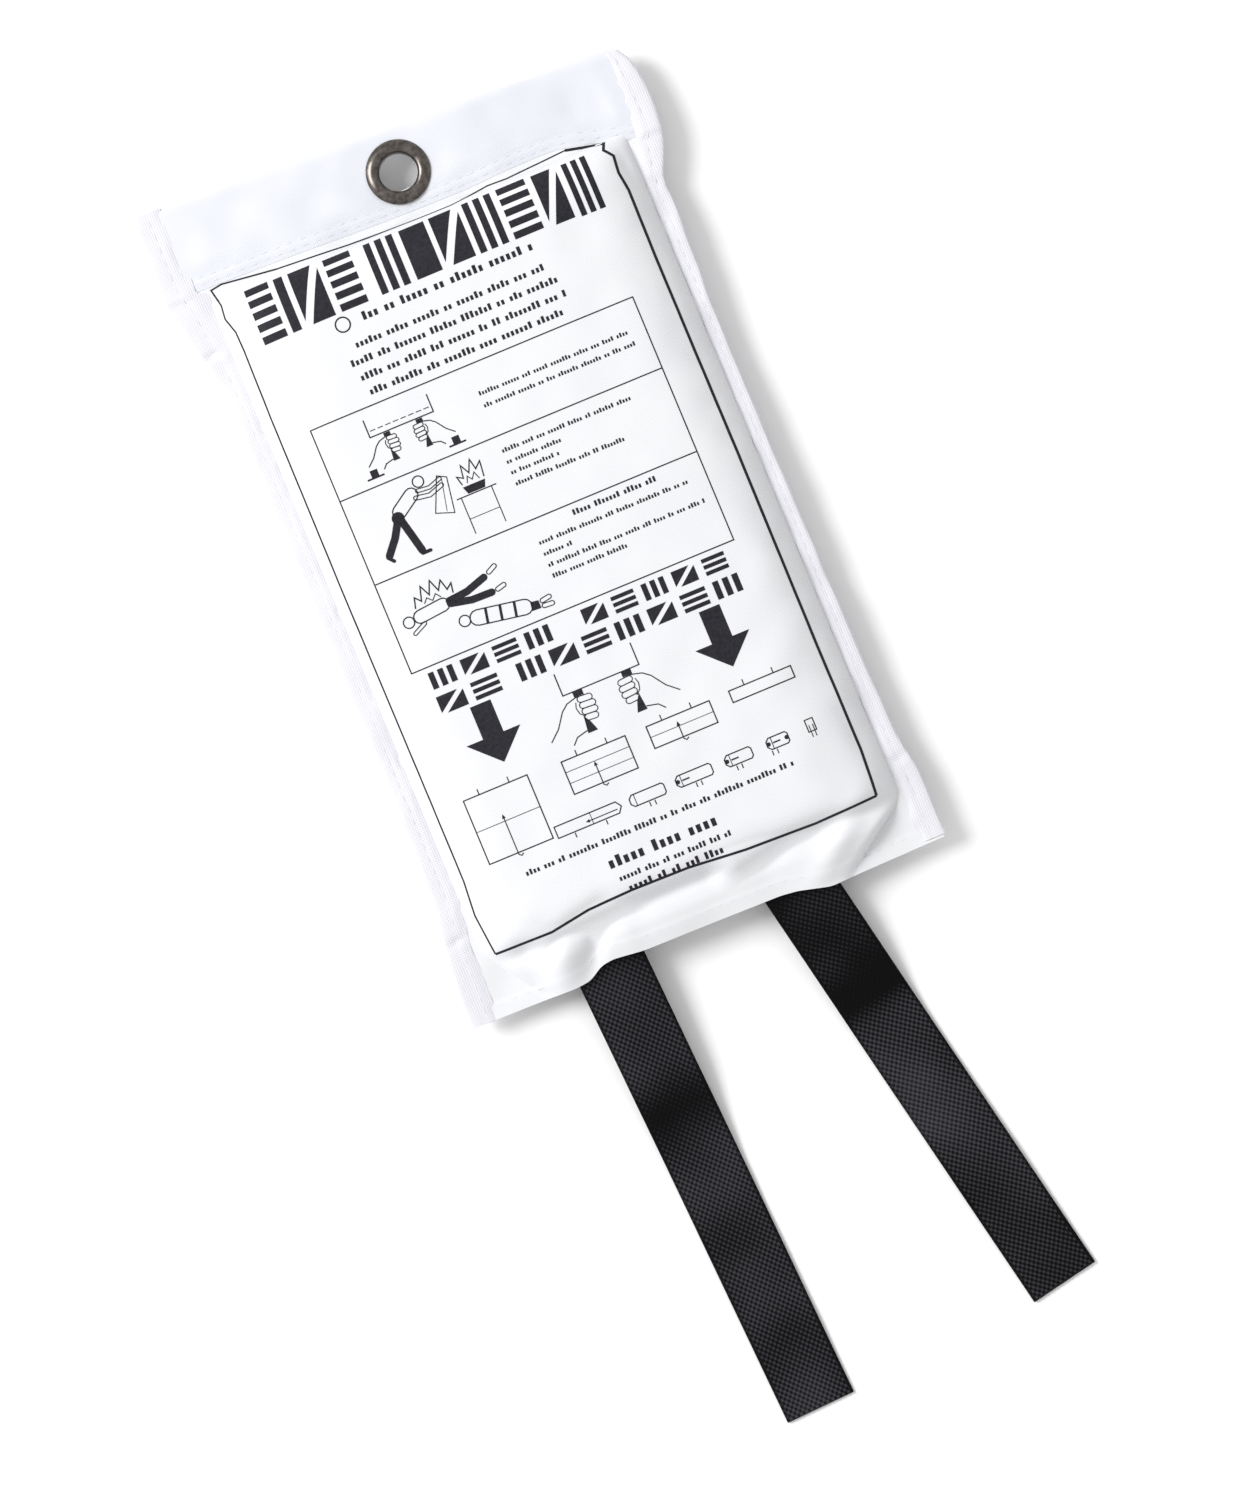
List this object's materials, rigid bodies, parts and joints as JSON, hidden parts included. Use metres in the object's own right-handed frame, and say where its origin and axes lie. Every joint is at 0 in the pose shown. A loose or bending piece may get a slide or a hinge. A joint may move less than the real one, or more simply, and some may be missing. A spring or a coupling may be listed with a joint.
{
  "type": "fire blanket in a soft pouch",
  "caption": "Folded fire blanket in a flat white fabric hanging pouch with a metal eyelet, drawn out of the open lower end by black pull tapes.",
  "frame": {"origin": "on the hanging eyelet's axis, in the mid-plane of the header band, where the panels are seamed", "axes": "+Z out of the printed front, +Y towards the header band's top edge, +X to the right of the print"},
  "size_m": [0.1774, 0.4589, 0.0211],
  "materials": {
    "printed_fabric": "coated, fine weave",
    "pouch_fabric": "coated, fine weave",
    "binding_tape": "soft woven tape",
    "ink": "screen printed, matte",
    "eyelet_metal": "dark nickel",
    "white_thread": "twisted polyester",
    "glass_cloth": "woven glass fibre",
    "webbing": "ribbed woven webbing",
    "black_thread": "twisted polyester"
  },
  "bodies": {
    "pouch": {"front_panel": "printed_fabric", "back_panel": "pouch_fabric", "header_band": "pouch_fabric", "left_side_binding": "binding_tape", "right_side_binding": "binding_tape", "eyelet_barrel": "eyelet_metal", "eyelet_washer": "eyelet_metal", "header_stitching": "white_thread", "left_side_stitching": "white_thread", "right_side_stitching": "white_thread", "front_hem_stitching": "white_thread", "back_hem_stitching": "white_thread"},
    "blanket": {"folded_blanket": "glass_cloth", "blanket_hem_stitching": "white_thread", "left_tape_sewn_end": "webbing", "right_tape_sewn_end": "webbing", "left_tape_stitching": "black_thread", "right_tape_stitching": "black_thread"},
    "left_tape": {"left_tape_free_run": "webbing"},
    "right_tape": {"right_tape_free_run": "webbing"}
  },
  "joints": [
    {"name": "blanket_slide", "type": "slide", "parent": "pouch", "child": "blanket", "axis": [0, -1, 0], "range_m": [0, 0.255]},
    {"name": "left_tape_lift", "type": "hinge", "parent": "blanket", "child": "left_tape", "pos_m": [-0.0362, -0.28119, 0.0014], "axis": [-0.9988, -0.0489, 0], "range_deg": [0, 90]},
    {"name": "right_tape_lift", "type": "hinge", "parent": "blanket", "child": "right_tape", "pos_m": [0.03352, -0.28108, 0.0008], "axis": [-0.9803, -0.1977, 0], "range_deg": [0, 90]}
  ]
}
